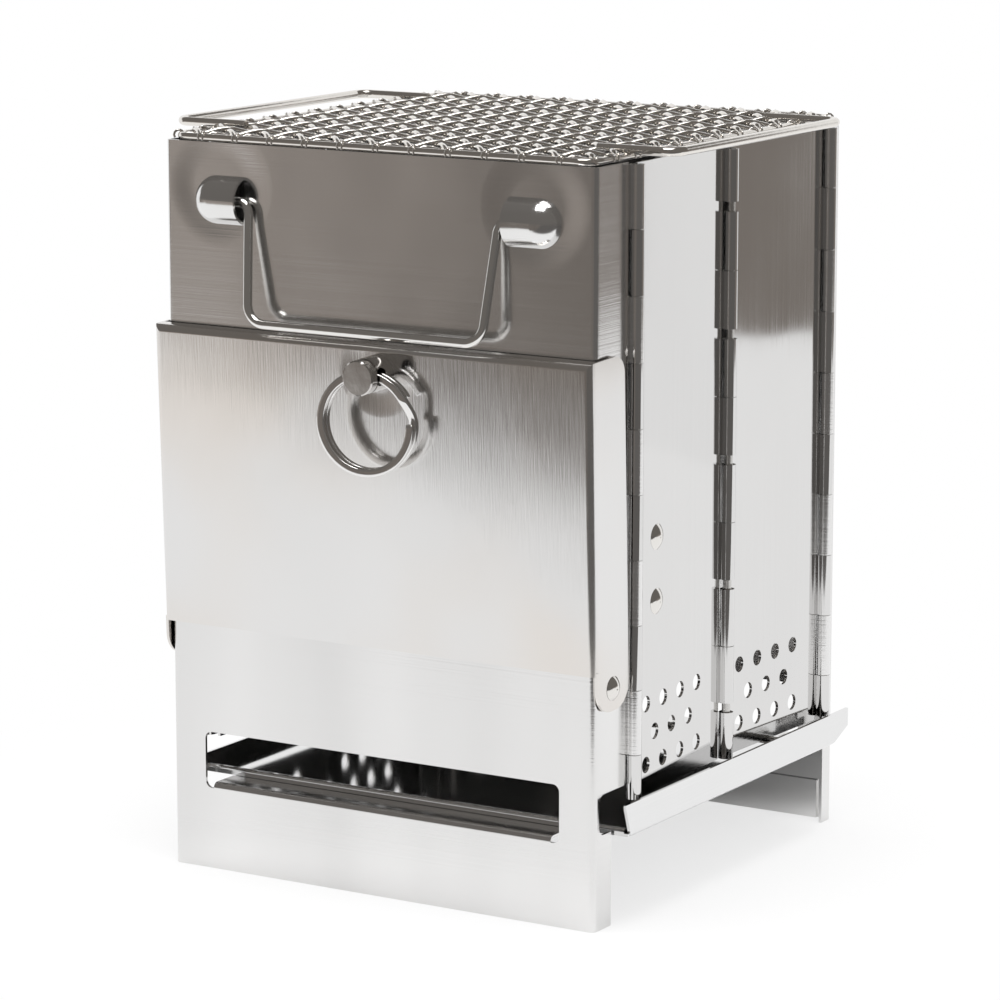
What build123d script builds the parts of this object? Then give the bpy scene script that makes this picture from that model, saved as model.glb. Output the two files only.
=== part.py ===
from build123d import *
import math
import os

os.makedirs("parts", exist_ok=True)

# A folding camping stove: a square upright firebox of thin stainless sheet.
# Front and rear panels are joined on each side by two hinged leaves, so the
# box folds flat. A feed door, a carrying bail, a sliding ash tray and a
# lift-off wire grill hang on or rest in the box.
# Frame: X to the right, Y from the front to the back, Z up. The origin is on
# the ground, in the middle of the stove's outline seen from above, knob and
# handles included. All sizes are millimetres.

# ---- sheet metal
height = 200.0            # front and rear panels
width = 133.6             # across the outer faces of the side flanges
sheet = 0.8               # every wall, leaf, door and tray
panel_bend = 1.6          # outer radius of the panels' upright bends
hem_height = 11.0         # folded bottom hem of the panels
hem_inset = 4.0           # hem's ends, in from the panel's sides

# ---- hinges
pin_radius = 1.15
pin_clearance = 0.05      # radial, pin in knuckle
front_flange = 18.5       # front face to the front hinge axis
rear_flange = 8.8         # rear face to the rear hinge axis
leaf_pitch = 54.0         # hinge axis to hinge axis, along a leaf
open_angle = 2.0          # degrees each leaf stands short of straight when open
knuckle_pitch = 17.3      # front and rear hinges
knuckle_gap = 0.2         # between neighbouring knuckles, along the pin
knuckle_notch = 2.4       # sheet is cut back this far from a foreign knuckle
shortest_knuckle = 6.0
middle_knuckle = 15.9
middle_space = 2.5        # bare pin between the pairs of middle knuckles
middle_first = 165.7      # height of the first meeting line below the top
pin_end = 0.4             # pin stays this far inside the knuckle stack's ends

# ---- side leaves
leaf_bottom = 31.3
leaf_top_gap = 0.6        # leaf's top edge below the panels' top
vent_radius = 2.2
vent_pitch = 9.8
vent_row = 8.25
vent_middle = 23.8        # vent field, from the leaf's front hinge axis
vent_height = 47.4        # middle row

# ---- front panel's openings
slot_half = 56.2          # ash slot, half its width
slot_top = 38.4
slot_corner = 2.0
shelf_top = 24.2          # shelf bent in from the slot's lower edge
shelf_depth = 14.0        # from the panel's face
rear_shelf_depth = 18.0
shelf_relief = 0.6        # cut beside the shelf's ends
feed_half = 50.0          # feed opening behind the door
feed_low = 76.0
feed_high = 143.0
feed_corner = 6.0
notch_low = 25.4          # side notch above the tray
notch_high = 36.3
notch_front = 2.5
notch_corner = 2.4
foot_flange_front = 8.8   # flange depth below the notch
foot_flange_rear = 6.0

# ---- bail lugs and bail
lug_mouth = 41.3          # open end, from the middle
lug_length = 15.3
lug_radius = 6.6
lug_rise = 5.4            # how far it stands out from the panel
bail_below_top = 15.2     # pivot line, also the lugs' middle, below the panel's top
bail_stand_off = 1.7      # wire's middle in front of the panel, at the pivot
bail_wire = 1.25          # radius
bail_drop = 31.8
bail_top_half = 38.8
bail_bottom_half = 36.3
bail_tail = 47.0          # wire's tips inside the lugs
bail_lean = 8.4           # degrees forward of hanging plumb
bail_top_bend = 3.2
bail_bottom_bend = 5.5

# ---- feed door, in its own upright frame, then leaned about the pivot
door_gap = 0.5            # door's side flange beside the panel's flange
door_front = 1.8          # door's face in front of the panel's face
door_low = 69.0
door_high = 151.0
door_rear = 15.4          # rear edge of the side flanges
door_bend = 2.0
door_lip = 4.3            # depth of the folded-in top lip
door_top_corner = 5.0
door_lean = 2.1           # degrees, the lip then meets the panel
pivot_y = 7.2             # behind the panel's face
pivot_z = 64.2
ear_front = -0.9
ear_bottom = 58.3
ear_corner = 6.8
rivet_shank = 1.5
rivet_hole_clearance = 0.05
rivet_head = 3.25
rivet_dome = 1.3
rivet_tail = 2.5
rivet_tail_height = 0.7
seat_gap = 0.02           # between pieces that are riveted together

# ---- knob and ring
knob_x = 3.9
knob_height = 143.8
knob_radius = 4.7
knob_length = 10.2
knob_head = 2.8           # front face to the groove
knob_groove = 0.6
knob_groove_depth = 0.35
knob_chamfer = 0.35
knob_hole = 2.4           # radius of the cross hole for the ring
knob_hole_back = 4.8      # its middle, behind the front face
knob_stem = 1.75
knob_tail = 3.0
ring_radius = 13.0        # middle of the wire
ring_radial = 2.0         # wire section
ring_thick = 1.5          # one turn's thickness along the axis
ring_groove = 0.35        # V between the two turns
ring_yaw = 6.0            # degrees, the ring hangs turned a little to the right
ring_set = 0.44           # its wire lies this far above the hole's middle line

# ---- ash tray
tray_lift = 0.1           # above the shelves
tray_front = 9.6          # from the panel's face
tray_rear = 120.0
tray_left = -64.6
tray_hem = 2.0
tray_hem_round = 0.85
tray_stop = 4.6           # low inner end
tray_room = 0.7           # above it, in the rear panel's flanges
lip_inner = 71.0
lip_top = 33.2
lip_front_top = 7.6
lip_front_low = 10.6
lip_rear = 135.2
lip_rear_low = 126.0
lip_chamfer_top = 28.2
lip_round = 0.7

# ---- grill
rim_wire = 1.0            # radius
rim_lift = 0.05
rim_half = 64.5
rim_inset = 1.2           # wire's middle, in from the panels' outer faces
rim_corner = 4.5
net_thickness = 0.95
net_drop = 0.7            # net's underside below the rim wire's middle
net_gap = 0.2             # rim wire to the net's edge
net_pitch = 11.1
net_bar = 1.8
loop_wire = 1.25
loop_seat = 0.7           # depth of the seat pressed where the wires cross
loop_half = 77.8
loop_inner = 55.0
loop_front = 21.0
loop_length = 92.0
loop_corner = 4.0

# ---- leaf brackets
bracket_u = 14.6          # middle, from the front hinge axis
bracket_width = 12.0
bracket_low = 75.5
bracket_high = 106.5
bracket_sheet = 1.0
bracket_shelf = 9.0
bracket_rivets = (82.4, 99.7)
bracket_head = 3.5
bracket_dome = 1.2

# ---- derived
bore = pin_radius + pin_clearance
knuckle = bore + sheet
lean = math.radians(open_angle)
depth = front_flange + 2 * leaf_pitch * math.cos(lean) + rear_flange
tilt = math.radians(door_lean)
knob_reach = (pivot_y + door_front + seat_gap + knob_length) * math.cos(tilt)
knob_reach += (knob_height + knob_radius - knob_chamfer - pivot_z) * math.sin(tilt)
overhang = knob_reach - pivot_y             # knob's foremost edge, ahead of the panel
face_y = (overhang - depth) / 2
mid_y = face_y + depth / 2
rear_y = face_y + depth
half = width / 2
bail_height = height - bail_below_top
axis_x = half + bore
front_axis_y = face_y + front_flange
middle_axis = (axis_x - leaf_pitch * math.sin(lean), front_axis_y + leaf_pitch * math.cos(lean))
rear_axis_y = rear_y - rear_flange
floor_low = shelf_top + tray_lift
leaf_top = height - leaf_top_gap
hinge_top = height - leaf_top_gap
hinge_bottom = leaf_bottom + 1.0
MIN, MAX, MID = Align.MIN, Align.MAX, Align.CENTER


def block(x0, x1, y0, y1, z0, z1):
    return Pos(x0, y0, z0) * Box(x1 - x0, y1 - y0, z1 - z0, align=(MIN, MIN, MIN))


def rod_x(x0, x1, y, z, radius):
    return Pos(x0, y, z) * Rot(0, 90, 0) * Cylinder(radius, x1 - x0, align=(MID, MID, MIN))


def outer_rows():
    """Knuckle rows of a front or rear hinge, top to bottom: (low, high)."""
    edges = [hinge_top]
    z = height - knuckle_pitch
    while z > hinge_bottom + shortest_knuckle:
        edges.append(z)
        z -= knuckle_pitch
    edges.append(hinge_bottom)
    return list(zip(edges[1:], edges[:-1]))


def middle_rows():
    """Rows of the middle hinge: (low, high) lists of the front and the rear leaf."""
    step = 2 * middle_knuckle + middle_space
    low, high = leaf_bottom, leaf_top - 1.0
    front, rear = [], []
    z = middle_first + step * math.ceil((high - middle_first) / step)
    while z > low - middle_knuckle:
        for rows, a, b in ((front, z - middle_knuckle, z), (rear, z, z + middle_knuckle)):
            a, b = max(a, low), min(b, high)
            if b - a >= shortest_knuckle:
                rows.append((a, b))
        z -= step
    return front, rear


def rolled(rows):
    """Knuckles about the Z axis with their tabs, which run back towards +Y."""
    ring = Circle(knuckle) - Circle(bore)
    start = 0.25 * bore
    tab = Pos(-knuckle, start) * Rectangle(sheet, knuckle_notch - start, align=(MIN, MIN))
    section = ring + tab
    trim = knuckle_gap / 2
    return [Pos(0, 0, a + trim) * extrude(section, amount=b - a - 2 * trim) for a, b in rows]


panel_rows = outer_rows()[0::2]
leaf_rows = outer_rows()[1::2]
front_leaf_rows, rear_leaf_rows = middle_rows()


def channel(flange, foot_flange, shelf_depth):
    """A U of sheet, its face at Y = 0 and its flanges towards +Y, with hem,
    lower slot, shelf and the knuckles on its flanges."""
    reach = flange - knuckle_notch
    outer = Rectangle(width, reach, align=(MID, MIN))
    outer = fillet(outer.vertices().group_by(Axis.Y)[0], panel_bend)
    inner = Pos(0, sheet) * Rectangle(width - 2 * sheet, reach, align=(MID, MIN))
    inner = fillet(inner.vertices().group_by(Axis.Y)[0], panel_bend - sheet)
    body = extrude(outer - inner, amount=height)
    body += block(-half + hem_inset, half - hem_inset, sheet / 2, 2 * sheet, 0, hem_height)

    # Flanges are shallower below the tray.
    body -= block(-half - 1, half + 1, foot_flange, flange, -1, notch_low)

    # Slot with the shelf bent in from its lower edge.
    bend = 2 * sheet
    low = shelf_top - bend
    slot = Pos(0, (low + slot_top) / 2) * RectangleRounded(2 * slot_half, slot_top - low, slot_corner)
    body -= Pos(0, 3 * sheet, 0) * Rot(90, 0, 0) * extrude(slot, amount=4 * sheet)
    shelf_half = slot_half - slot_corner - shelf_relief
    with BuildPart() as shelf:
        with BuildSketch(Plane.YZ.offset(-shelf_half)):
            with BuildLine():
                Line((0, low - sheet), (0, low))
                RadiusArc((0, low), (bend, shelf_top), bend)
                Line((bend, shelf_top), (shelf_depth, shelf_top))
                Line((shelf_depth, shelf_top), (shelf_depth, shelf_top - sheet))
                Line((shelf_depth, shelf_top - sheet), (bend, shelf_top - sheet))
                RadiusArc((bend, shelf_top - sheet), (sheet, low), -(bend - sheet))
                Line((sheet, low), (sheet, low - sheet))
                Line((sheet, low - sheet), (0, low - sheet))
            make_face()
        extrude(amount=2 * shelf_half)
    body += shelf.part

    # Knuckles: the flange runs into them from the face's side.
    for piece in rolled(panel_rows):
        right = Pos(axis_x, flange, 0) * mirror(piece, about=Plane.XZ)
        body += right
        body += mirror(right, about=Plane.YZ)
    return body


# ---- front panel
def capsule(radius):
    """Bail lug's volume on the right side: a bar along X with a ball end."""
    y = lug_radius - lug_rise
    end = lug_mouth + lug_length - lug_radius
    return rod_x(lug_mouth, end, y, bail_height, radius) + Pos(end, y, bail_height) * Sphere(radius)


front_panel = channel(front_flange, foot_flange_front, shelf_depth)
notch = Pos(notch_front, notch_low) * Rectangle(front_flange, notch_high - notch_low, align=(MIN, MIN))
notch = fillet(notch.vertices().group_by(Axis.X)[0], notch_corner)
notch = Plane.YZ.offset(half - sheet - 0.5) * notch
notch = extrude(notch, amount=sheet + 1.0)
# The knuckle stack beside the notch belongs to the leaf, so the notch may run out.
front_panel -= notch
front_panel -= mirror(notch, about=Plane.YZ)
feed = Pos(0, (feed_low + feed_high) / 2) * RectangleRounded(2 * feed_half, feed_high - feed_low, feed_corner)
front_panel -= Pos(0, 2 * sheet, 0) * Rot(90, 0, 0) * extrude(feed, amount=3 * sheet)
lug_shell = (capsule(lug_radius) - capsule(lug_radius - sheet)) & block(0, half, -height, sheet, 0, height)
lug_space = capsule(lug_radius - sheet) & block(0, half, -height, 2 * sheet, 0, height)
for side in (False, True):
    shell = mirror(lug_shell, about=Plane.YZ) if side else lug_shell
    space = mirror(lug_space, about=Plane.YZ) if side else lug_space
    front_panel = front_panel - space + shell
pivot_bore = rivet_shank + seat_gap
front_panel -= rod_x(-half - 1, -half + 2, pivot_y, pivot_z, pivot_bore)
front_panel -= rod_x(half - 2, half + 1, pivot_y, pivot_z, pivot_bore)
front_panel = Pos(0, face_y, 0) * front_panel

# Rear panel: its flanges are cut back beside the tray, which the panel passes
# on its way forward while the stove is folded.
rear_panel = channel(rear_flange, foot_flange_rear, rear_shelf_depth)
tray_pass = block(half - panel_bend, half + 1, notch_front, rear_flange, shelf_top - sheet, floor_low + tray_stop + tray_room)
rear_panel -= tray_pass
rear_panel -= mirror(tray_pass, about=Plane.YZ)
rear_panel = Pos(0, rear_y, 0) * Rot(0, 0, 180) * rear_panel


# ---- side leaves, laid out from the front hinge axis along +Y
def leaf(near_rows, far_rows, extra_holes=()):
    body = block(-knuckle, -bore, knuckle_notch, leaf_pitch - knuckle_notch, leaf_bottom, leaf_top)
    for piece in rolled(near_rows):
        body += piece
    for piece in rolled(far_rows):
        body += Pos(0, leaf_pitch, 0) * mirror(piece, about=Plane.XZ)
    holes = []
    for row, count in ((1, 4), (0, 3), (-1, 4)):
        for i in range(count):
            u = vent_middle + (i - (count - 1) / 2) * vent_pitch
            holes.append((u, vent_height + row * vent_row, vent_radius))
    for u, z, radius in holes + list(extra_holes):
        body -= rod_x(-knuckle - 1, -bore + 1, u, z, radius)
    return body


def to_front(shape):
    return Pos(axis_x, front_axis_y, 0) * Rot(0, 0, open_angle) * shape


def to_rear(shape):
    return Pos(middle_axis[0], middle_axis[1], 0) * Rot(0, 0, -open_angle) * shape


def to_left(shape):
    return mirror(shape, about=Plane.YZ)


bracket_holes = [(bracket_u, z, rivet_shank + seat_gap) for z in bracket_rivets]
right_front_leaf = to_front(leaf(leaf_rows, front_leaf_rows, bracket_holes))
right_rear_leaf = to_rear(leaf(rear_leaf_rows, leaf_rows))
left_front_leaf = to_left(right_front_leaf)
left_rear_leaf = to_left(right_rear_leaf)


# ---- hinge pins
def pin(x, y, low, high):
    return Pos(x, y, low + pin_end) * Cylinder(pin_radius, high - low - 2 * pin_end, align=(MID, MID, MIN))


front_hinge_pins = [pin(s * axis_x, front_axis_y, hinge_bottom, hinge_top) for s in (-1, 1)]
rear_hinge_pins = [pin(s * axis_x, rear_axis_y, hinge_bottom, hinge_top) for s in (-1, 1)]
right_middle_pin = pin(middle_axis[0], middle_axis[1], leaf_bottom, leaf_top - 1.0)
left_middle_pin = to_left(right_middle_pin)


# ---- brackets inside the front leaves and their rivets
def domed_rivet(grip, head, dome):
    """Rivet along X: the dome stands on X = 0, the formed tail is at X = -grip."""
    ball = (head * head + dome * dome) / (2 * dome)
    with BuildPart() as body:
        with BuildSketch():
            with BuildLine():
                Polyline(
                    (dome, 0), (-grip - rivet_tail_height, 0), (-grip - rivet_tail_height, rivet_tail),
                    (-grip, rivet_tail), (-grip, rivet_shank), (0, rivet_shank), (0, head))
                RadiusArc((0, head), (dome, 0), ball)
            make_face()
        revolve(axis=Axis.X)
    return body.part


plate_outer = -knuckle - seat_gap
plate_inner = plate_outer - bracket_sheet
near, far = bracket_u - bracket_width / 2, bracket_u + bracket_width / 2
bracket = block(plate_inner, plate_outer, near, far, bracket_low, bracket_high)
bracket += block(plate_inner - bracket_shelf, plate_outer, near, far, bracket_low, bracket_low + bracket_sheet)
top_corners = bracket.edges().filter_by(Axis.X).group_by(Axis.Z)[-1]
bracket = fillet(top_corners, bracket_width / 4)
for u, z, radius in bracket_holes:
    bracket -= rod_x(plate_inner - 1, plate_outer + 1, u, z, radius)
bracket_grip = knuckle - bore + 3 * seat_gap + bracket_sheet
rivet = Pos(-bore + seat_gap, 0, 0) * domed_rivet(bracket_grip, bracket_head, bracket_dome)
right_bracket = to_front(bracket)
left_bracket = to_left(right_bracket)
right_bracket_rivets = [to_front(Pos(0, bracket_u, z) * rivet) for z in bracket_rivets]
left_bracket_rivets = [to_left(r) for r in right_bracket_rivets]


# ---- feed door
door_half = half + door_gap + sheet
outer = block(-door_half, door_half, -door_front, door_rear, door_low, door_high)
front_edges = outer.edges().filter_by(Axis.Z).group_by(Axis.Y)[0] + outer.edges().filter_by(Axis.X).group_by(Axis.Y)[0].sort_by(Axis.Z)[-1:]
outer = fillet(front_edges, door_bend)
inner = block(-door_half + sheet, door_half - sheet, -door_front + sheet, door_rear + 1, door_low - 1, door_high - sheet)
front_edges = inner.edges().filter_by(Axis.Z).group_by(Axis.Y)[0] + inner.edges().filter_by(Axis.X).group_by(Axis.Y)[0].sort_by(Axis.Z)[-1:]
inner = fillet(front_edges, door_bend - sheet)
feed_door = outer - inner
lip_end = -door_front + door_lip
feed_door -= block(-door_half + sheet, door_half - sheet, lip_end, door_rear + 1, door_high - 2 * sheet, door_high + 1)
for s in (-1, 1):
    x0 = s * door_half if s < 0 else door_half - sheet
    ear = Pos(ear_front, ear_bottom) * Rectangle(door_rear - ear_front, door_low + 1 - ear_bottom, align=(MIN, MIN))
    ear = fillet(ear.vertices().group_by(Axis.Y)[0], ear_corner)
    feed_door += extrude(Plane.YZ.offset(x0) * ear, amount=sheet)
corners = feed_door.edges().filter_by(Axis.X).group_by(Axis.Y)[-1].group_by(Axis.Z)[-1]
feed_door = fillet(corners, door_top_corner)
ear_bore = rivet_shank + rivet_hole_clearance
feed_door -= rod_x(-door_half - 1, -door_half + 2, pivot_y, pivot_z, ear_bore)
feed_door -= rod_x(door_half - 2, door_half + 1, pivot_y, pivot_z, ear_bore)
stem_bore = knob_stem + seat_gap
stem_hole = Pos(knob_x, -door_front - 1, knob_height) * Rot(-90, 0, 0) * Cylinder(stem_bore, sheet + 2, align=(MID, MID, MIN))
feed_door -= stem_hole


def lean_door(shape):
    hinge = Pos(0, face_y + pivot_y, pivot_z)
    return hinge * Rot(door_lean, 0, 0) * Pos(0, -pivot_y, -pivot_z) * shape


# Knob: turned about its own axis, front face first, running back along +Z.
grooved = Cylinder(knob_radius, knob_length, align=(MID, MID, MIN))
grooved = chamfer(grooved.edges().group_by(Axis.Z)[0], knob_chamfer)
ring_cut = Cylinder(knob_radius + 1, knob_groove, align=(MID, MID, MIN)) - Cylinder(knob_radius - knob_groove_depth, knob_groove, align=(MID, MID, MIN))
grooved -= Pos(0, 0, knob_head) * ring_cut
grooved -= Pos(-knob_radius - 1, 0, knob_hole_back) * Rot(0, 90, 0) * Cylinder(knob_hole, 2 * knob_radius + 2, align=(MID, MID, MIN))
grooved += Pos(0, 0, knob_length) * Cylinder(knob_stem, sheet + 2 * seat_gap, align=(MID, MID, MIN))
grooved += Pos(0, 0, knob_length + sheet + 2 * seat_gap) * Cylinder(knob_tail, sheet, align=(MID, MID, MIN))
knob_front = -door_front - seat_gap - knob_length
door_knob = Pos(knob_x, knob_front, knob_height) * Rot(-90, 0, 0) * grooved

door_rivet = domed_rivet(half - (half - sheet) + door_gap + sheet + 2 * seat_gap + rivet_hole_clearance, rivet_head, rivet_dome)
door_rivet = Pos(door_half + rivet_hole_clearance, pivot_y, pivot_z) * door_rivet
door_rivet = Pos(0, face_y, 0) * door_rivet
door_pivot_rivets = [door_rivet, to_left(door_rivet)]
feed_door = lean_door(feed_door)
door_knob = lean_door(door_knob)

# Split ring: two flat turns side by side, hung in the knob's cross hole.
r0, r1 = ring_radius - ring_radial / 2, ring_radius + ring_radial / 2
section = Polyline(
    (r0, -ring_thick), (r1, -ring_thick), (r1, -ring_groove), (r1 - ring_groove, 0), (r1, ring_groove),
    (r1, ring_thick), (r0, ring_thick), (r0, ring_groove), (r0 + ring_groove, 0), (r0, -ring_groove), close=True)
section = make_face(section)
split_ring = revolve(section, Axis.Y)
ends = split_ring.edges().filter_by(GeomType.CIRCLE).group_by(Axis.Y)
split_ring = fillet(ends[0] + ends[-1], 0.45)
hole_middle = lean_door(Pos(knob_x, knob_front + knob_hole_back, knob_height))
ring_top = hole_middle.position
split_ring = Pos(ring_top.X, ring_top.Y, ring_top.Z) * Rot(0, 0, ring_yaw) * Pos(0, 0, ring_set - ring_radius) * split_ring


# ---- carrying bail
def wire(path, radius):
    start = path @ 0
    return sweep(Plane(origin=start, z_dir=path % 0) * Circle(radius), path=path)


bail_path = FilletPolyline(
    (-bail_tail, 0, 0), (-bail_top_half, 0, 0), (-bail_bottom_half, 0, -bail_drop),
    (bail_bottom_half, 0, -bail_drop), (bail_top_half, 0, 0), (bail_tail, 0, 0),
    radius=[bail_top_bend, bail_bottom_bend, bail_bottom_bend, bail_top_bend])
carry_bail = wire(bail_path, bail_wire)
carry_bail = Pos(0, face_y - bail_stand_off, bail_height) * Rot(-bail_lean, 0, 0) * carry_bail

# ---- ash tray
y0, y1 = face_y + tray_front, face_y + tray_rear
ash_tray = block(tray_left, lip_inner + sheet / 2, y0, y1, floor_low, floor_low + sheet)
for a in (y0, y1 - tray_hem):
    hem = block(tray_left, lip_inner - sheet, a, a + tray_hem, floor_low, floor_low + tray_hem)
    ash_tray += fillet(hem.edges().filter_by(Axis.X).group_by(Axis.Z)[-1], tray_hem_round)
ash_tray += block(tray_left, tray_left + sheet, y0, y1, floor_low, floor_low + tray_stop)
lip = Polyline(
    (face_y + lip_front_top, lip_top), (face_y + lip_rear, lip_top), (face_y + lip_rear, lip_chamfer_top),
    (face_y + lip_rear_low, floor_low), (face_y + lip_front_low, floor_low), close=True)
lip = extrude(Plane.YZ.offset(lip_inner) * make_face(lip), amount=sheet)
low_edge = lip.edges().filter_by(Axis.Y).group_by(Axis.Z)[0].sort_by(Axis.X)[-1:]
lip = fillet(low_edge, lip_round)
ash_tray += lip

# ---- grill
rim_z = height + rim_lift + rim_wire
rim_y = depth / 2 - rim_inset
rim_face = Pos(0, mid_y, rim_z) * RectangleRounded(2 * rim_half, 2 * rim_y, rim_corner)
rim_path = rim_face.wire()
grill_rim = wire(rim_path, rim_wire)

net_x = 2 * (rim_half - rim_wire - net_gap)
net_y = 2 * (rim_y - rim_wire - net_gap)
cell = net_pitch / math.sqrt(2) - net_bar
across = cell * math.sqrt(2) / 2 + net_bar
counts = [int((side / 2 - across) / net_pitch) for side in (net_x, net_y)]
centres = [(i * net_pitch, j * net_pitch) for i in range(-counts[0], counts[0] + 1) for j in range(-counts[1], counts[1] + 1)]
counts = [int((side / 2 - across) / net_pitch + 0.5) for side in (net_x, net_y)]
centres += [((i + 0.5) * net_pitch, (j + 0.5) * net_pitch) for i in range(-counts[0], counts[0]) for j in range(-counts[1], counts[1])]
diamonds = [Pos(x, y) * Rot(0, 0, 45) * Rectangle(cell, cell) for x, y in centres]
net_face = RectangleRounded(net_x, net_y, rim_corner - rim_wire - net_gap).face()
net_face = net_face.make_holes([d.wire() for d in diamonds])
grill_net = extrude(Pos(0, mid_y, rim_z - net_drop) * net_face, amount=net_thickness)
print("net gaps", len(centres))

loop_z = rim_z + rim_wire + loop_wire - loop_seat
ya, yb = face_y + loop_front, face_y + loop_front + loop_length
loop_path = FilletPolyline((loop_inner, ya, loop_z), (loop_half, ya, loop_z), (loop_half, yb, loop_z), (loop_inner, yb, loop_z), radius=loop_corner)
grill_loop_right = wire(loop_path, loop_wire)
seat = Pos(rim_half, mid_y, rim_z) * Rot(90, 0, 0) * Cylinder(rim_wire + seat_gap, 2 * rim_y)
grill_loop_right -= seat
grill_loop_left = to_left(grill_loop_right)

nodes = {
    "front_panel": front_panel,
    "rear_panel": rear_panel,
    "right_front_leaf": right_front_leaf,
    "right_rear_leaf": right_rear_leaf,
    "left_front_leaf": left_front_leaf,
    "left_rear_leaf": left_rear_leaf,
    "front_hinge_pins": front_hinge_pins,
    "rear_hinge_pins": rear_hinge_pins,
    "right_middle_pin": right_middle_pin,
    "left_middle_pin": left_middle_pin,
    "right_bracket": right_bracket,
    "left_bracket": left_bracket,
    "right_bracket_rivets": right_bracket_rivets,
    "left_bracket_rivets": left_bracket_rivets,
    "feed_door": feed_door,
    "door_pivot_rivets": door_pivot_rivets,
    "door_knob": door_knob,
    "split_ring": split_ring,
    "carry_bail": carry_bail,
    "ash_tray": ash_tray,
    "grill_rim": grill_rim,
    "grill_net": grill_net,
    "grill_loop_right": grill_loop_right,
    "grill_loop_left": grill_loop_left,
}
for name, shape in nodes.items():
    if isinstance(shape, list):
        shape = Compound(children=shape)
    export_step(shape, f"parts/{name}.step")
print("depth", round(depth, 3), "face", round(face_y, 3), "front axis", round(front_axis_y, 3), "middle axis", [round(v, 3) for v in middle_axis], "rear axis", round(rear_axis_y, 3))
print("ring top", [round(v, 3) for v in ring_top])
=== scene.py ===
# %% [markdown]
# # A folding camping stove in stainless steel
# The stove is thin sheet and wire: two pressed panels, four hinged leaves, a feed door, a bail,
# an ash tray and a wire grill. The measured model gives every plate its true place, so this
# lesson spends its effort on three things: the camera, the studio that the steel mirrors, and
# the two wire pieces that a plain model leaves simple, the woven net and the split ring.

# %% Load the measured model
import math

import bpy
from mathutils import Matrix, Vector


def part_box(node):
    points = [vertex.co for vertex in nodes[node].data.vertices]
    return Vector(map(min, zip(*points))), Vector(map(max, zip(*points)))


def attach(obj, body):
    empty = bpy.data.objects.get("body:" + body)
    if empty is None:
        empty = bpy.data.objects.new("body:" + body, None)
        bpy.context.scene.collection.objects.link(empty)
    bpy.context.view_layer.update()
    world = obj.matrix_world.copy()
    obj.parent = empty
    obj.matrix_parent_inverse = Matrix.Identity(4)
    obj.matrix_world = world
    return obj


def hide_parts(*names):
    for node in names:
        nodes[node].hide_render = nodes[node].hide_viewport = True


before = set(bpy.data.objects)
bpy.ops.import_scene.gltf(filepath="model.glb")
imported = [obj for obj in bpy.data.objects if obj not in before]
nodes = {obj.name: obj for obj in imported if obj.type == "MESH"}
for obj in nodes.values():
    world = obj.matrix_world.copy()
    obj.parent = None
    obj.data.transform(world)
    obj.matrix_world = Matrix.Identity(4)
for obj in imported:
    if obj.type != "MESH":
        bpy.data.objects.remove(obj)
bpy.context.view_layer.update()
scene = bpy.context.scene
MM = 0.001

# %% [markdown]
# ## Camera
# The photographer stood to the right of the stove, about 1.2 m away and a little above it,
# with a long lens. The place and the lens come from matching the corners of the panels, the slot
# and the tray's lip, so the camera needs no shift.

# %% Place the camera
image_size = 1000
sensor_mm = 36.0
focal_px = 4283.5
azimuth, elevation = math.radians(31.40), math.radians(10.80)
camera_place = Vector((605.85, -990.07, 319.93)) * MM

lens = bpy.data.cameras.new("camera")
lens.sensor_width = sensor_mm
lens.lens = focal_px / image_size * sensor_mm
lens.clip_start, lens.clip_end = 0.05, 30
camera = bpy.data.objects.new("camera", lens)
scene.collection.objects.link(camera)
forward = Vector((
    -math.sin(azimuth) * math.cos(elevation),
    math.cos(azimuth) * math.cos(elevation),
    -math.sin(elevation)))
camera.location = camera_place
camera.rotation_mode = "QUATERNION"
camera.rotation_quaternion = forward.to_track_quat("-Z", "Y")
scene.camera = camera
print("lens", round(lens.lens, 1), "mm")

# %% [markdown]
# ## Writing shaders as arithmetic
# A shader is a graph of small nodes. Typing `a * b + 1` is easier to read than wiring three
# boxes, so one small class wraps a socket and turns Python's operators into Math nodes. Every
# other node comes from one method, which takes its settings first and then its inputs. Four
# shorthands on top of it cover what the finishes use again and again: a smooth ramp, a colour
# mix, a grey made from one number and a blend of two surfaces.


# %% Wrap a socket
class Socket:
    def __init__(self, shader, socket):
        self.shader, self.socket = shader, socket

    def math(self, operation, other, swap=False):
        pair = (other, self) if swap else (self, other)
        return self.shader.node("ShaderNodeMath", {"operation": operation}, dict(enumerate(pair)))

    def __add__(self, other): return self.math("ADD", other)
    def __radd__(self, other): return self.math("ADD", other, True)
    def __sub__(self, other): return self.math("SUBTRACT", other)
    def __rsub__(self, other): return self.math("SUBTRACT", other, True)
    def __mul__(self, other): return self.math("MULTIPLY", other)
    def __rmul__(self, other): return self.math("MULTIPLY", other, True)
    def __truediv__(self, other): return self.math("DIVIDE", other)
    def __rtruediv__(self, other): return self.math("DIVIDE", other, True)


print("socket ready")


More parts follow.
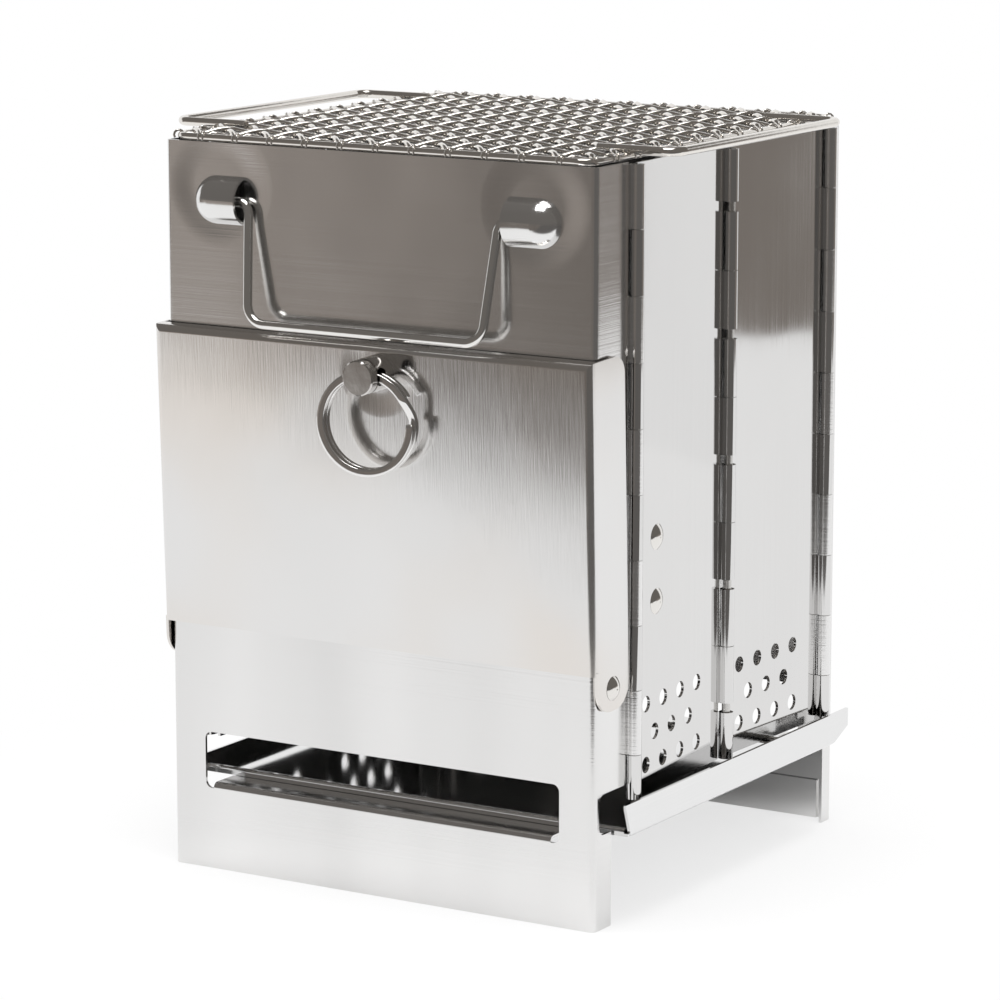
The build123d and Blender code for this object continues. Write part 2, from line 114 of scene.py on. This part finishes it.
# %% Wrap a shader tree
class Shader:
    """The nodes of a new material, or of the world that is handed in."""

    def __init__(self, name, world=None):
        self.owner = world or bpy.data.materials.new(name)
        self.owner.use_nodes = True
        self.tree = self.owner.node_tree
        self.tree.nodes.clear()

    def node(self, kind, settings=None, inputs=None, output=0):
        made = self.tree.nodes.new(kind)
        for key, value in (settings or {}).items():
            setattr(made, key, value)
        for key, value in (inputs or {}).items():
            if isinstance(value, Socket):
                self.tree.links.new(value.socket, made.inputs[key])
            else:
                made.inputs[key].default_value = value
        return Socket(self, made.outputs[output]) if made.outputs else None

    def ramp(self, value, low, high, start=0.0, end=1.0):
        limits = {0: value, 1: low, 2: high, 3: start, 4: end}
        return self.node("ShaderNodeMapRange", {"interpolation_type": "SMOOTHSTEP"}, limits)

    def mix(self, factor, one, other, blend="MIX"):
        settings = {"data_type": "RGBA", "blend_type": blend}
        return self.node("ShaderNodeMix", settings, {0: factor, 6: one, 7: other}, 2)

    def grey(self, level):
        return self.node("ShaderNodeCombineColor", None, {0: level, 1: level, 2: level})

    def blend(self, factor, one, other):
        return self.node("ShaderNodeMixShader", None, {0: factor, 1: one, 2: other})

    def finish(self, surface, output="ShaderNodeOutputMaterial"):
        self.node(output, None, {"Surface": surface})
        return self.owner


print("shader helpers ready")

# %% [markdown]
# ## The steel
# Rolled stainless sheet is neither a mirror nor matt. Its finish is a grain of very fine
# parallel scratches, so a reflection stays sharp along the grain and smears across it. A noise
# that is stretched along one axis makes the grain: it shifts the roughness a little and drives a
# very shallow bump. Slow noises give the oil-can waves of thin sheet and the long streaks that the
# rolling leaves, which is what makes straight reflections wander. Those long streaks also lighten
# and darken the colour, which is painted reflection: a stand-in for the room's light and dark
# mirrored in the sheet. Where a lug is pressed out or a knob is riveted through, the sheet is drawn
# in around it, and a shallow round dent in the bump shows that. A slow noise mixes a faint warm
# tint into the door's colour.


# %% Mix a brushed sheet
SLOW, DULL, BAND = (14, 14, 14), (34, 34, 34), (26, 26, 2.5)  # noise cells per metre
WAVE_HEIGHT, GRAIN_HEIGHT = 4 * MM, 0.04 * MM
DENT_FLOOR = 0.45  # share of a dent's radius that is flat
TONE, SCRATCH_ROUGH, DULL_ROUGH = 0.05, 0.10, 0.06  # how far the noises shift tone and roughness
# where the slow noise fades the door's faint warm tint in
WARMTH_FROM, WARMTH_TO = -0.12, 0.20


def brushed_sheet(
        name, tint, roughness, grain,
        grain_depth=0.10, waves=0.10, band_relief_and_sheen=0.0, warmth=None, dents=()):
    """Sheet steel. grain is the number of scratches per metre along X, Y and Z."""
    s = Shader(name)
    place = s.node("ShaderNodeTexCoord", None, None, "Object")

    def noise(scale, detail=3.0):
        cells = s.node("ShaderNodeMapping", None, {"Vector": place, "Scale": scale})
        inputs = {"Vector": cells, "Scale": 1.0, "Detail": detail}
        return s.node("ShaderNodeTexNoise", None, inputs) - 0.5

    scratches = noise(grain)
    slow, dull, band = noise(SLOW, 2.0), noise(DULL, 4.0), noise(BAND, 1.5)
    # the band term paints reflection into the colour: light and dark long streaks standing in for
    # the mirrored room
    shade = scratches * TONE + dull * TONE + band * band_relief_and_sheen + 1.0
    colour = s.mix(1.0, (*tint, 1), s.grey(shade), "MULTIPLY")
    # a slow noise mixes a faint warm tint into the colour
    if warmth:
        warmed = s.mix(1.0, colour, (*warmth, 1), "MULTIPLY")
        colour = s.mix(s.ramp(slow, WARMTH_FROM, WARMTH_TO), colour, warmed)
    relief = slow + band * band_relief_and_sheen * 0.5
    distance = {"operation": "DISTANCE"}
    for middle, reach, depth in dents:
        away = s.node("ShaderNodeVectorMath", distance, {0: place, 1: middle}, "Value")
        relief = relief + s.ramp(away, reach * DENT_FLOOR, reach, -depth, 0)
    waved = s.node("ShaderNodeBump", None, {
        "Strength": waves, "Distance": WAVE_HEIGHT, "Height": relief})
    grained = s.node("ShaderNodeBump", None, {
        "Strength": grain_depth, "Distance": GRAIN_HEIGHT, "Height": scratches, "Normal": waved})
    return s.finish(s.node("ShaderNodeBsdfPrincipled", None, {
        "Base Color": colour, "Metallic": 1.0,
        "Roughness": scratches * SCRATCH_ROUGH + dull * DULL_ROUGH + roughness,
        "Normal": grained}))


print("noise cells per metre", SLOW, DULL, BAND)

# %% [markdown]
# ## Five sheet finishes
# The panels and the tray are rolled across, and the leaves, the door and the brackets up and
# down. The leaves and the tray are nearly mirrors, and the panels and the door are duller,
# because they are handled and pressed more.

# %% Choose the sheets
ACROSS = (9.0, 9.0, 2600.0)      # grain runs level
UPRIGHT = (2600.0, 2600.0, 9.0)  # grain runs up and down
door_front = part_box("feed_door")[0].y
lug_side, lug_face, lug_height = 49 * MM, -60 * MM, 188.6 * MM
knob_place = (3.9 * MM, -66.0 * MM, 143.5 * MM)
panel_dents = [((side * lug_side, lug_face, lug_height), 17 * MM, 0.6) for side in (-1, 1)]
door_dents = [(knob_place, 12.5 * MM, 0.55)]
# the panel's band strength also paints long light and dark reflection streaks into its colour
panel_steel = brushed_sheet(
    "panel steel", (0.79, 0.785, 0.78), 0.15, ACROSS, 0.42, waves=0.16, band_relief_and_sheen=0.34,
    dents=panel_dents)
leaf_steel = brushed_sheet("leaf steel", (0.72, 0.715, 0.71), 0.06, UPRIGHT, 0.06, waves=0.05)
# the door's band strength paints faint reflection streaks into its colour
door_steel = brushed_sheet(
    "door steel", (0.775, 0.77, 0.765), 0.15, UPRIGHT, 0.36, waves=0.14, band_relief_and_sheen=0.05,
    warmth=(0.98, 0.93, 0.88), dents=door_dents)
tray_steel = brushed_sheet("tray steel", (0.80, 0.80, 0.80), 0.06, ACROSS, 0.05, waves=0.05)
bracket_steel = brushed_sheet("bracket steel", (0.70, 0.70, 0.70), 0.25, UPRIGHT)
print("dents", len(panel_dents) + len(door_dents), "door front", round(door_front / MM, 2))

# %% [markdown]
# ## Wire, pins and turned pieces
# Drawn wire and turned buttons are smoother than sheet, with faint dimples from handling. A
# little noise in the roughness keeps the highlights from looking like plastic.


# %% Mix the bright steel
WORN_CELLS, DIMPLE_HEIGHT, DIMPLES = 260.0, 0.4 * MM, 0.05


def bright_steel(name, tint, roughness):
    s = Shader(name)
    place = s.node("ShaderNodeTexCoord", None, None, "Object")
    worn = s.node("ShaderNodeTexNoise", None, {"Vector": place, "Scale": WORN_CELLS, "Detail": 3.0})
    bumped = s.node("ShaderNodeBump", None, {
        "Strength": DIMPLES, "Distance": DIMPLE_HEIGHT, "Height": worn})
    return s.finish(s.node("ShaderNodeBsdfPrincipled", None, {
        "Base Color": (*tint, 1), "Metallic": 1.0,
        "Roughness": (worn - 0.5) * 0.08 + roughness, "Normal": bumped}))


pin_steel = bright_steel("pin steel", (0.66, 0.65, 0.63), 0.25)
rivet_steel = bright_steel("rivet steel", (0.80, 0.78, 0.75), 0.12)
knob_steel = bright_steel("knob steel", (0.62, 0.60, 0.58), 0.12)
ring_steel = bright_steel("ring steel", (0.82, 0.81, 0.80), 0.09)
bail_steel = bright_steel("bail steel", (0.82, 0.81, 0.79), 0.12)
grill_steel = bright_steel("grill steel", (0.80, 0.77, 0.73), 0.13)
print("bright finishes", 6)

# %% [markdown]
# ## Dressing the measured pieces
# The measured plates, pins and rivets already have their true shapes, so they only get a finish.
# Handing the finish to each material slot leaves their meshes as they are.

# %% Dress the pieces
finishes = {
    panel_steel: ["front_panel", "rear_panel"],
    leaf_steel: ["right_front_leaf", "right_rear_leaf", "left_front_leaf", "left_rear_leaf"],
    pin_steel: ["front_hinge_pins", "rear_hinge_pins", "right_middle_pin", "left_middle_pin"],
    bracket_steel: ["right_bracket", "left_bracket"],
    rivet_steel: ["right_bracket_rivets", "left_bracket_rivets", "door_pivot_rivets"],
    door_steel: ["feed_door"],
    knob_steel: ["door_knob"],
    bail_steel: ["carry_bail"],
    tray_steel: ["ash_tray"],
    grill_steel: ["grill_rim", "grill_net", "grill_loop_right", "grill_loop_left"],
    ring_steel: ["split_ring"],
}
for finish, names in finishes.items():
    for name in names:
        for slot in nodes[name].material_slots:
            slot.material = finish
print("dressed", sum(len(names) for names in finishes.values()))

# %% [markdown]
# ## The woven net
# The real net is two families of crimped wire at 45 degrees to the frame. Each wire dips under
# and climbs over the wires that it crosses, and its end is flattened and bent round the frame's
# rim. A wave whose crests fall on the crossings gives that weave: along a wire the height is a
# cosine, and the neighbouring wire has the same cosine upside down. The net lies as low as it
# can without touching the panels, which pass just under it when the stove folds.

# %% Measure the rim
rim_low, rim_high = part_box("grill_rim")
rim_wire = (rim_high.z - rim_low.z) / 2
rim_middle = (rim_low + rim_high) / 2
rim_half = Vector((
    (rim_high.x - rim_low.x) / 2 - rim_wire, (rim_high.y - rim_low.y) / 2 - rim_wire))
net_wire = 0.80 * MM
crossing = 11.1 * MM / math.sqrt(2)
weave_lift = 0.86 * net_wire
net_clearance = 0.06 * MM
net_level = rim_low.z + weave_lift + net_wire + net_clearance
print("rim half", [round(v / MM, 2) for v in rim_half], "wire", round(rim_wire / MM, 2))

# %% [markdown]
# A wire is one straight line across the rim's rectangle, so the first helper finds where that
# line leaves the rectangle. The second bends the wire's end over the rim's wire.


# %% Find a wire's ends
hook_thin, hook_points = 0.42, 7  # share of the wire left at the flattened end
hook_start, hook_turn = 160, 32   # degrees


def clip_to_rim(direction, offset):
    """Where a 45 degree line leaves the rim's rectangle: two distances along the line."""
    side = Vector((-direction.y, direction.x)) * offset
    low, high = -1.0, 1.0
    for axis in (0, 1):
        a = (-rim_half[axis] - side[axis]) / direction[axis]
        b = (rim_half[axis] - side[axis]) / direction[axis]
        low, high = max(low, min(a, b)), min(high, max(a, b))
    return side, low, high


def hook(side, direction, end, outward):
    """Points that carry a wire's end up and over the rim, to its outer side."""
    bend = rim_wire + net_wire * hook_thin
    points = []
    for step in range(hook_points):
        turn = math.radians(hook_start - hook_turn * step)
        flat = side + direction * (end + outward * bend * math.cos(turn))
        points.append(Vector((flat.x, flat.y, rim_middle.z + bend * math.sin(turn))))
    return points


print("hook", hook_points, "points")

# %% [markdown]
# Six points from one crossing to the next are enough for a smooth wave. A line that only clips
# a corner is too short to be a wire and is left out.

# %% Weave the wires
widest, points_per_crossing, hook_room = 0.2, 6, 2.6 * rim_wire
shortest = 3 * net_wire + 2 * rim_wire


def weave(direction, phase):
    wires = []
    farthest = int(widest / crossing)
    for i in range(-farthest, farthest + 1):
        side, low, high = clip_to_rim(direction, i * crossing)
        if high - low < shortest:
            continue
        start, stop = low + hook_room, high - hook_room
        count = max(2, int((stop - start) / crossing * points_per_crossing))
        run = []
        for k in range(count + 1):
            travelled = start + (stop - start) * k / count
            flat = side + direction * travelled
            lift = weave_lift * math.cos(math.pi * (travelled / crossing + i)) * phase
            run.append(Vector((flat.x, flat.y, net_level + lift)))
        wires.append(hook(side, direction, low, -1)[::-1] + run + hook(side, direction, high, 1))
    return wires


diagonal = 1 / math.sqrt(2)
runs = weave(Vector((diagonal, diagonal)), 1) + weave(Vector((-diagonal, diagonal)), -1)
print("net wires", len(runs))

# %% [markdown]
# A curve with a round bevel makes the wire, because the tube stays round however the line
# bends, and each point can have its own radius, which is how the ends get thinner.

# %% Draw the net
curve = bpy.data.curves.new("woven_net", "CURVE")
curve.dimensions = "3D"
curve.bevel_depth, curve.bevel_resolution = net_wire, 2
curve.use_fill_caps = True
for run in runs:
    spline = curve.splines.new("POLY")
    spline.points.add(len(run) - 1)
    for k, (point, at) in enumerate(zip(spline.points, run)):
        point.co = (*at, 1)
        if min(k, len(run) - 1 - k) < hook_points:
            point.radius = hook_thin
woven_net = bpy.data.objects.new("woven_net", curve)
scene.collection.objects.link(woven_net)
woven_net.location = (rim_middle.x, rim_middle.y, 0)
woven_net.data.materials.append(grill_steel)
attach(woven_net, "grill")
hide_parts("grill_net")
print("net size", [round(v / MM, 1) for v in woven_net.dimensions])

# %% [markdown]
# ## The split ring
# A split ring is one spring wire wound twice, flattened so that the turns lie face to face. It
# steps from the front turn to the rear one beside its two ends, which are cut off square. A
# rounded section is carried round the path by hand, because a curve's bevel would twist at the
# step.

# %% Size the ring
ring_low, ring_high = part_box("split_ring")
ring_middle = (ring_low + ring_high) / 2
ring_yaw = math.radians(6.0)
ring_radius, wire_width, wire_thick = 13.0 * MM, 2.1 * MM, 1.75 * MM
turn_gap, wire_corner, corner_points = 0.50 * MM, 0.34 * MM, 4
step_angle, step_middle, step_half = (math.radians(v) for v in (34, 18, 15))
tip_angle, tip_share = math.radians(2), 0.90


def smooth(x):
    x = min(max(x, 0.0), 1.0)
    return x * x * (3 - 2 * x)


profile = []
for sx, sy, begin in ((1, 1, 0), (-1, 1, 90), (-1, -1, 180), (1, -1, 270)):
    for k in range(corner_points):
        a = math.radians(begin + 90 * k / (corner_points - 1))
        profile.append((
            sx * (wire_width / 2 - wire_corner) + wire_corner * math.cos(a),
            sy * (wire_thick / 2 - wire_corner) + wire_corner * math.sin(a)))
profile.reverse()
print("section points", len(profile))

# %% [markdown]
# The section starts at the front end, goes twice round clockwise and shifts back by one wire
# and the gap where it passes the ends. A smooth step keeps that shift from kinking.

# %% Wind the ring
rings, steps, total = [], 220, 4 * math.pi - 2 * step_half
step_start = 2 * math.pi - step_half - step_angle / 2
for k in range(steps + 1):
    travelled = total * k / steps
    angle = step_middle - step_half - travelled
    lift = (smooth((travelled - step_start) / step_angle) - 0.5) * (wire_thick + turn_gap)
    thin = tip_share + (1 - tip_share) * smooth(min(travelled, total - travelled) / tip_angle)
    ring = []
    for wide, out in profile:
        radius = ring_radius + wide * thin
        ring.append(Vector((radius * math.cos(angle), lift + out * thin, radius * math.sin(angle))))
    rings.append(ring)

sides = len(profile)
faces = []
for i in range(0, steps * sides, sides):
    for j in range(sides):
        following = (j + 1) % sides
        faces.append((i + j, i + following, i + sides + following, i + sides + j))
faces += [tuple(range(sides))[::-1], tuple(range(steps * sides, (steps + 1) * sides))]
ring_mesh = bpy.data.meshes.new("key_ring")
ring_mesh.from_pydata([v for ring in rings for v in ring], [], faces)
ring_mesh.transform(Matrix.Translation(ring_middle) @ Matrix.Rotation(ring_yaw, 4, "Z"))
for face in ring_mesh.polygons:
    face.use_smooth = len(face.vertices) == 4
key_ring = bpy.data.objects.new("key_ring", ring_mesh)
scene.collection.objects.link(key_ring)
key_ring.data.materials.append(ring_steel)
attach(key_ring, "ring")
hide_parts("split_ring")
print("ring size", [round(v / MM, 2) for v in key_ring.dimensions])

# %% [markdown]
# ## The studio
# Polished steel shows its surroundings, so the room is half of its look. The stove stands on a
# white table with a low white card behind it, and the room beyond the table's edges is dim. The
# door leans forward a little and mirrors the near table, so it is bright. The upright panel
# above it mirrors the dim room past the table's front edge. The front leaves mirror the card,
# and the tops of the rear leaves mirror the room to its right. All this is laid out along the
# line of sight, so two directions come first: toward the camera, and to its right.

# %% Lay out the studio
toward = Vector((math.sin(azimuth), -math.cos(azimuth), 0))
rightward = Vector((math.cos(azimuth), math.sin(azimuth), 0))
table_front, table_right, table_left, edge_blur = 0.30, 0.94, -0.95, 0.012
floor_reach = 6.0
WHITE = (1, 1, 1, 1)
room_tone, dark_tone = (0.23, 0.205, 0.185, 1), (0.13, 0.123, 0.117, 1)


def plane(name, corners):
    mesh = bpy.data.meshes.new(name)
    mesh.from_pydata(corners, [], [(0, 1, 2, 3)])
    made = bpy.data.objects.new(name, mesh)
    scene.collection.objects.link(made)
    return made


floor = plane("floor", [
    (-floor_reach, -floor_reach, 0), (floor_reach, -floor_reach, 0),
    (floor_reach, floor_reach, 0), (-floor_reach, floor_reach, 0)])
print("table edges", table_front, table_right, table_left)

# %% [markdown]
# The floor answers each kind of ray in its own way. For the lamps it is a plain pale cloth. For
# the camera it turns to pure white away from the stove and keeps the stove's soft shadow near
# it. For a reflection it is the white table inside its edges and the dim room outside, where the
# level falls off with the bearing and a noise gives it upright streaks.

# %% Tell the table from the room
s = Shader("white table")
place = s.node("ShaderNodeNewGeometry", None, None, "Position")
near, across = (
    s.node("ShaderNodeVectorMath", {"operation": "DOT_PRODUCT"}, {0: place, 1: axis}, "Value")
    for axis in (toward, rightward))
distance = s.node("ShaderNodeVectorMath", {"operation": "LENGTH"}, {0: place}, "Value")
on_table = (
    s.ramp(near, table_front - edge_blur, table_front + edge_blur, 1, 0)
    * s.ramp(across, table_right - edge_blur, table_right + edge_blur, 1, 0)
    * s.ramp(across, table_left - edge_blur, table_left + edge_blur))
bearing = across / near
streak_cells, streak_depth = 9.0, 1.3
streak_place = s.node("ShaderNodeCombineXYZ", None, {0: bearing * streak_cells})
streaks = s.node("ShaderNodeTexNoise", None, {
    "Vector": streak_place, "Scale": 1.0, "Detail": 1.5})
level = s.ramp(bearing, -2.35, -1.60, 1.55, 0.75) * ((streaks - 0.5) * streak_depth + 1.0)
left_room = s.mix(s.ramp(near, 0.10, 0.20), room_tone, s.grey(level), "MULTIPLY")
in_front = s.ramp(near, 0.10, 0.30) * s.ramp(across, -0.34, -0.10)
mirror_tone = s.mix(on_table, s.mix(in_front, left_room, dark_tone), WHITE)
print("room", room_tone[:3], "in front", dark_tone[:3])

# %% Give the floor its three answers
seen = s.node("ShaderNodeLightPath", None, None, "Is Camera Ray")
mirrored = s.node("ShaderNodeLightPath", None, None, "Is Glossy Ray")
card = s.node("ShaderNodeEmission", None, {"Color": mirror_tone, "Strength": 1.0})
cloth = s.node("ShaderNodeBsdfDiffuse", None, {"Color": (0.86, 0.86, 0.86, 1)})
white = s.node("ShaderNodeEmission", None, {"Color": WHITE, "Strength": 1.0})
page = s.blend(s.ramp(distance, 0.07, 0.20, 0.70, 1.0), cloth, white)
mirror = s.blend(s.ramp(distance, 0.06, 0.13), cloth, card)
floor.data.materials.append(s.finish(s.blend(mirrored, s.blend(seen, cloth, page), mirror)))
print("floor", floor.name)

# %% [markdown]
# ## The card behind
# A low white card stands just behind the stove. Only reflections see it. It ends where the
# front leaf's reflection ends, and it is low, so the grill's wires mirror it as a thin bright
# line and keep their dark undersides.

# %% Stand the card
card_near, card_left, card_right, card_height, card_level = -0.32, -1.2, 0.65, 0.44, 0.95
backdrop = plane("backdrop", [
    tuple(toward * card_near + rightward * side + Vector((0, 0, height)))
    for side, height in (
        (card_left, 0), (card_right, 0), (card_right, card_height), (card_left, card_height))])
s = Shader("backdrop")
glow = s.node("ShaderNodeEmission", None, {"Strength": card_level})
backdrop.data.materials.append(s.finish(glow))
backdrop.visible_camera = False
backdrop.visible_diffuse = False
backdrop.visible_shadow = False
print("card behind at", card_near)

# %% [markdown]
# ## Light
# The world is white to the camera, a soft plain light to the cloth and a dim room to the steel.
# Four lamps light the stove at a plain level. Only the small one overhead shows in the steel:
# it makes the highlights on the wires and the lugs.

# %% Make the world
scene.world = bpy.data.worlds.new("studio")
s = Shader("studio", scene.world)
seen = s.node("ShaderNodeLightPath", None, None, "Is Camera Ray")
mirrored = s.node("ShaderNodeLightPath", None, None, "Is Glossy Ray")
plain = s.node("ShaderNodeBackground", None, {"Color": WHITE, "Strength": 0.55})
room = s.node("ShaderNodeBackground", None, {"Color": (0.15, 0.14, 0.13, 1)})
page = s.node("ShaderNodeBackground", None, {"Color": WHITE})
s.finish(s.blend(seen, s.blend(mirrored, plain, room), page), "ShaderNodeOutputWorld")
scene.view_settings.view_transform = "Standard"
print("world", scene.world.name)

# %% Hang the lamps
aim = Vector((0, 0, 0.1))
lamps = {  # place, size in metres, power in watts, shows in the steel
    "top_light": ((0.05, -0.25, 1.5), (0.8, 0.8), 9, True),
    "overhead": ((0.1, -0.1, 1.5), (1.4, 1.4), 10, False),
    "left_fill": ((-1.3, -0.7, 0.9), (0.8, 1.2), 8, False),
    "right_fill": ((1.4, -0.2, 1.0), (0.7, 1.2), 7, False),
}
for name, (place, size, power, shows) in lamps.items():
    lamp = bpy.data.lights.new(name, "AREA")
    lamp.shape, lamp.size, lamp.size_y = "RECTANGLE", size[0], size[1]
    lamp.energy = power
    box = bpy.data.objects.new(name, lamp)
    scene.collection.objects.link(box)
    box.location = place
    box.rotation_mode = "QUATERNION"
    box.rotation_quaternion = (aim - Vector(place)).to_track_quat("-Z", "Y")
    box.visible_glossy = shows
print("lamps", len(lamps))
